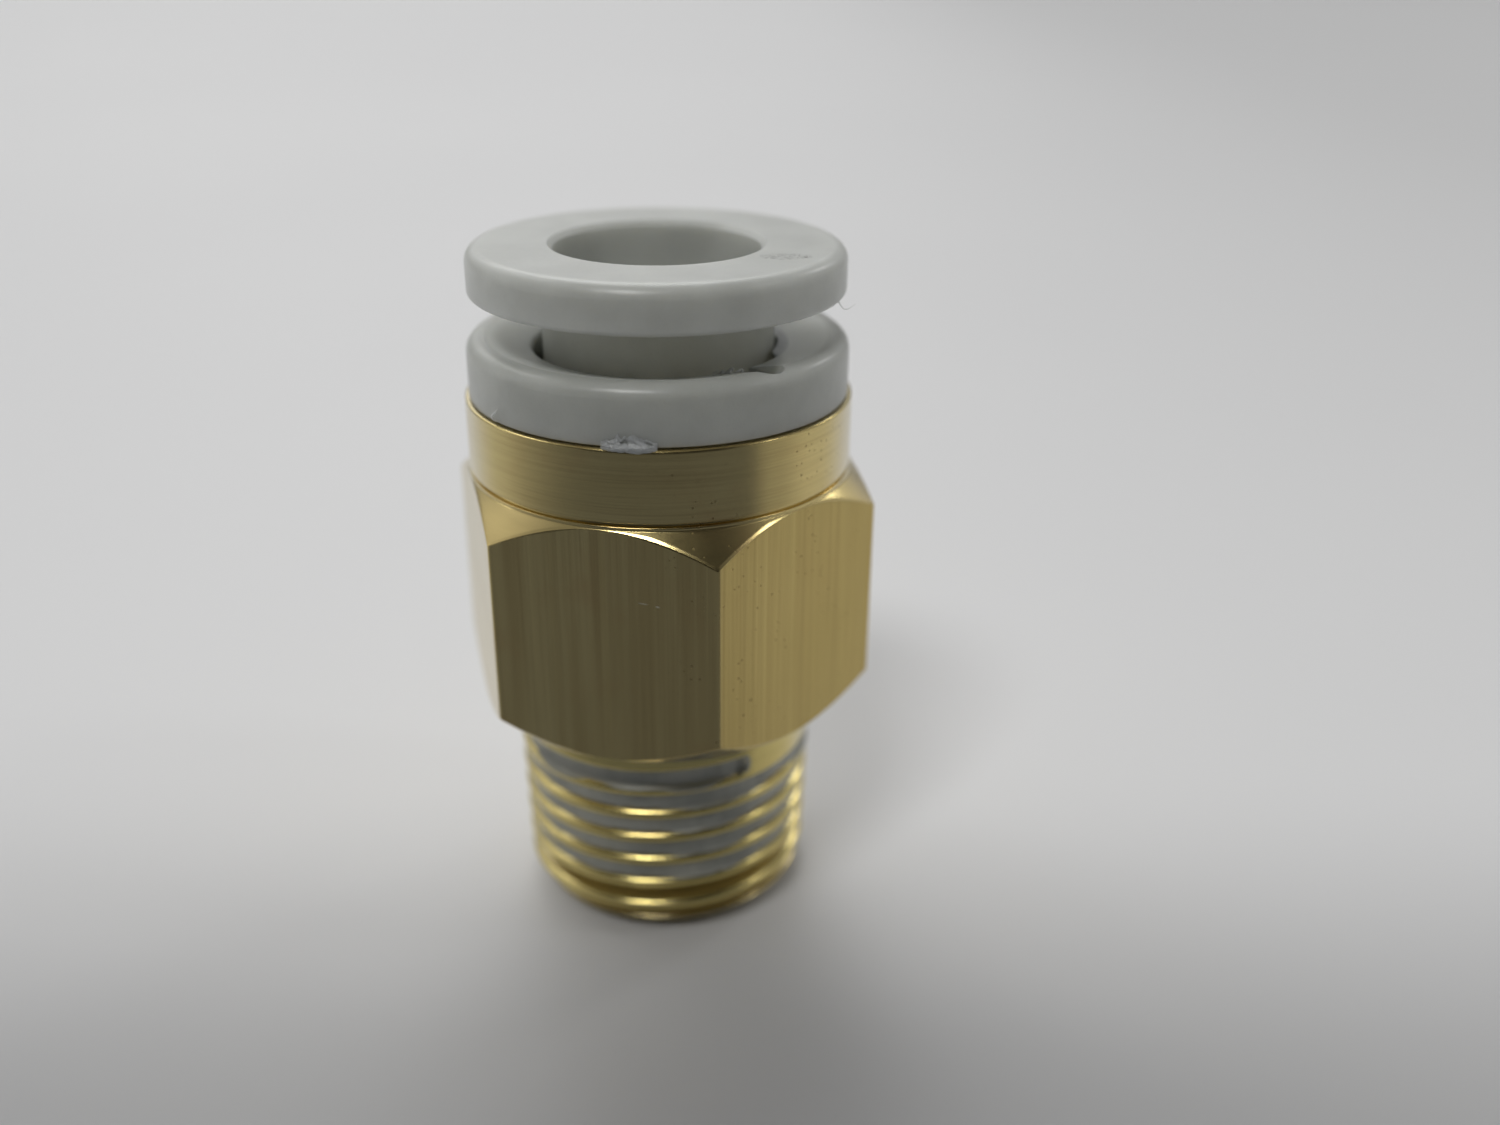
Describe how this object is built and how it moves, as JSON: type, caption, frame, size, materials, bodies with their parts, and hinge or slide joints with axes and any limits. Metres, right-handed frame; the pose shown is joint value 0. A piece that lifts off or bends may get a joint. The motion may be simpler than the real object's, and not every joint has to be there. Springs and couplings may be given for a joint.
{
  "type": "push to connect fitting",
  "caption": "Straight male stud fitting: taper pipe thread with sealant, hexagon, resin collar and a release button you press to free a push-in plastic tube.",
  "frame": {"origin": "centre of the end face of the thread, on the fitting's axis", "axes": "+Z along the axis from the thread to the tube port; two opposite corners of the hexagon lie on +X and -X"},
  "size_m": [0.0138, 0.012, 0.0221],
  "materials": {
    "brass": "bright turned and drawn brass with fine tool lines",
    "sealant": "dried blue-grey thread sealant, matte and slightly uneven",
    "collar_resin": "light warm-grey moulded resin, satin",
    "button_resin": "light warm-grey moulded resin, satin",
    "stainless": "pressed stainless sheet",
    "collet_resin": "natural white moulded resin",
    "rubber": "black moulded rubber",
    "washer_resin": "natural white turned resin"
  },
  "bodies": {
    "fitting_body": {"stud_body": "brass", "thread_sealant": "sealant", "collar": "collar_resin", "guide_ring": "stainless", "packing": "rubber", "backup_washer": "washer_resin"},
    "collet": {"collet": "collet_resin"},
    "release_button": {"release_button": "button_resin"},
    "chuck_ring": {"chuck_ring": "stainless"},
    "claw_1": {"chuck_claw_1": "stainless"},
    "claw_2": {"chuck_claw_2": "stainless"},
    "claw_3": {"chuck_claw_3": "stainless"},
    "claw_4": {"chuck_claw_4": "stainless"},
    "claw_5": {"chuck_claw_5": "stainless"},
    "claw_6": {"chuck_claw_6": "stainless"},
    "claw_7": {"chuck_claw_7": "stainless"},
    "claw_8": {"chuck_claw_8": "stainless"}
  },
  "joints": [
    {"name": "collet_spin", "type": "hinge", "parent": "fitting_body", "child": "collet", "pos_m": [0, 0, 0.013], "axis": [0, 0, 1], "continuous": true},
    {"name": "button_press", "type": "slide", "parent": "collet", "child": "release_button", "axis": [0, 0, -1], "range_m": [0, 0.0012]},
    {"name": "chuck_shift", "type": "slide", "parent": "collet", "child": "chuck_ring", "axis": [0, 0, -1], "range_m": [0, 0.00043]},
    {"name": "claw_1_flex", "type": "hinge", "parent": "chuck_ring", "child": "claw_1", "pos_m": [0.00379, 0.00157, 0.0145], "axis": [0.3827, -0.9239, 0], "range_deg": [0, 20.2]},
    {"name": "claw_2_flex", "type": "hinge", "parent": "chuck_ring", "child": "claw_2", "pos_m": [0.00157, 0.00379, 0.0145], "axis": [0.9239, -0.3827, 0], "range_deg": [0, 20.2]},
    {"name": "claw_3_flex", "type": "hinge", "parent": "chuck_ring", "child": "claw_3", "pos_m": [-0.00157, 0.00379, 0.0145], "axis": [0.9239, 0.3827, 0], "range_deg": [0, 20.2]},
    {"name": "claw_4_flex", "type": "hinge", "parent": "chuck_ring", "child": "claw_4", "pos_m": [-0.00379, 0.00157, 0.0145], "axis": [0.3827, 0.9239, 0], "range_deg": [0, 20.2]},
    {"name": "claw_5_flex", "type": "hinge", "parent": "chuck_ring", "child": "claw_5", "pos_m": [-0.00379, -0.00157, 0.0145], "axis": [-0.3827, 0.9239, 0], "range_deg": [0, 20.2]},
    {"name": "claw_6_flex", "type": "hinge", "parent": "chuck_ring", "child": "claw_6", "pos_m": [-0.00157, -0.00379, 0.0145], "axis": [-0.9239, 0.3827, 0], "range_deg": [0, 20.2]},
    {"name": "claw_7_flex", "type": "hinge", "parent": "chuck_ring", "child": "claw_7", "pos_m": [0.00157, -0.00379, 0.0145], "axis": [-0.9239, -0.3827, 0], "range_deg": [0, 20.2]},
    {"name": "claw_8_flex", "type": "hinge", "parent": "chuck_ring", "child": "claw_8", "pos_m": [0.00379, -0.00157, 0.0145], "axis": [-0.3827, -0.9239, 0], "range_deg": [0, 20.2]}
  ],
  "couplings": [
    {"joint": "chuck_shift", "follows": "button_press", "ratio": 0.35},
    {"joint": "claw_1_flex", "follows": "button_press", "rad_per_m": 290.89},
    {"joint": "claw_2_flex", "follows": "button_press", "rad_per_m": 290.89},
    {"joint": "claw_3_flex", "follows": "button_press", "rad_per_m": 290.89},
    {"joint": "claw_4_flex", "follows": "button_press", "rad_per_m": 290.89},
    {"joint": "claw_5_flex", "follows": "button_press", "rad_per_m": 290.89},
    {"joint": "claw_6_flex", "follows": "button_press", "rad_per_m": 290.89},
    {"joint": "claw_7_flex", "follows": "button_press", "rad_per_m": 290.89},
    {"joint": "claw_8_flex", "follows": "button_press", "rad_per_m": 290.89}
  ]
}
